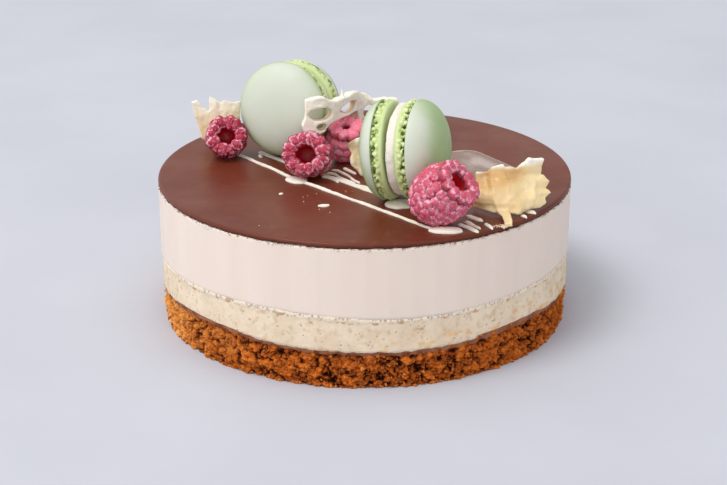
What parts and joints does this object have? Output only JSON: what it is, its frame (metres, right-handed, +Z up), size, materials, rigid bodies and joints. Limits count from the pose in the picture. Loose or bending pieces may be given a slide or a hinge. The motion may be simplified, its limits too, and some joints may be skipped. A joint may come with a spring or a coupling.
{
  "type": "layered mousse cake",
  "caption": "Round layered mousse cake with a chocolate glaze, dressed with macarons, raspberries and white chocolate shards.",
  "frame": {"origin": "centre of the cake's flat underside", "axes": "+Z up out of the glaze; the pictured front faces -Y; +X to the right in the picture"},
  "size_m": [0.16, 0.16, 0.0947],
  "materials": {
    "sponge": "coarse baked crumb",
    "ganache": "smooth satin",
    "nut_cream": "matte with fine specks",
    "mousse": "smooth matte",
    "glaze": "poured gloss",
    "macaron_shell": "soft eggshell",
    "macaron_filling": "matte cream",
    "berry": "frosted",
    "white_chocolate": "satin"
  },
  "bodies": {
    "root": {"sponge_base": "sponge", "ganache_layer": "ganache", "nut_cream_layer": "nut_cream", "mousse_layer": "mousse", "chocolate_glaze": "glaze", "back_macaron_shell_b": "macaron_shell", "back_macaron_filling": "macaron_filling", "back_macaron_shell_a": "macaron_shell", "front_macaron_shell_b": "macaron_shell", "front_macaron_filling": "macaron_filling", "front_macaron_shell_a": "macaron_shell", "raspberry_left": "berry", "raspberry_middle": "berry", "raspberry_rear": "berry", "raspberry_right": "berry", "white_chocolate_shard_left": "white_chocolate", "white_chocolate_shard_right": "white_chocolate", "white_chocolate_lattice": "white_chocolate", "white_chocolate_knob": "white_chocolate"}
  },
  "joints": []
}
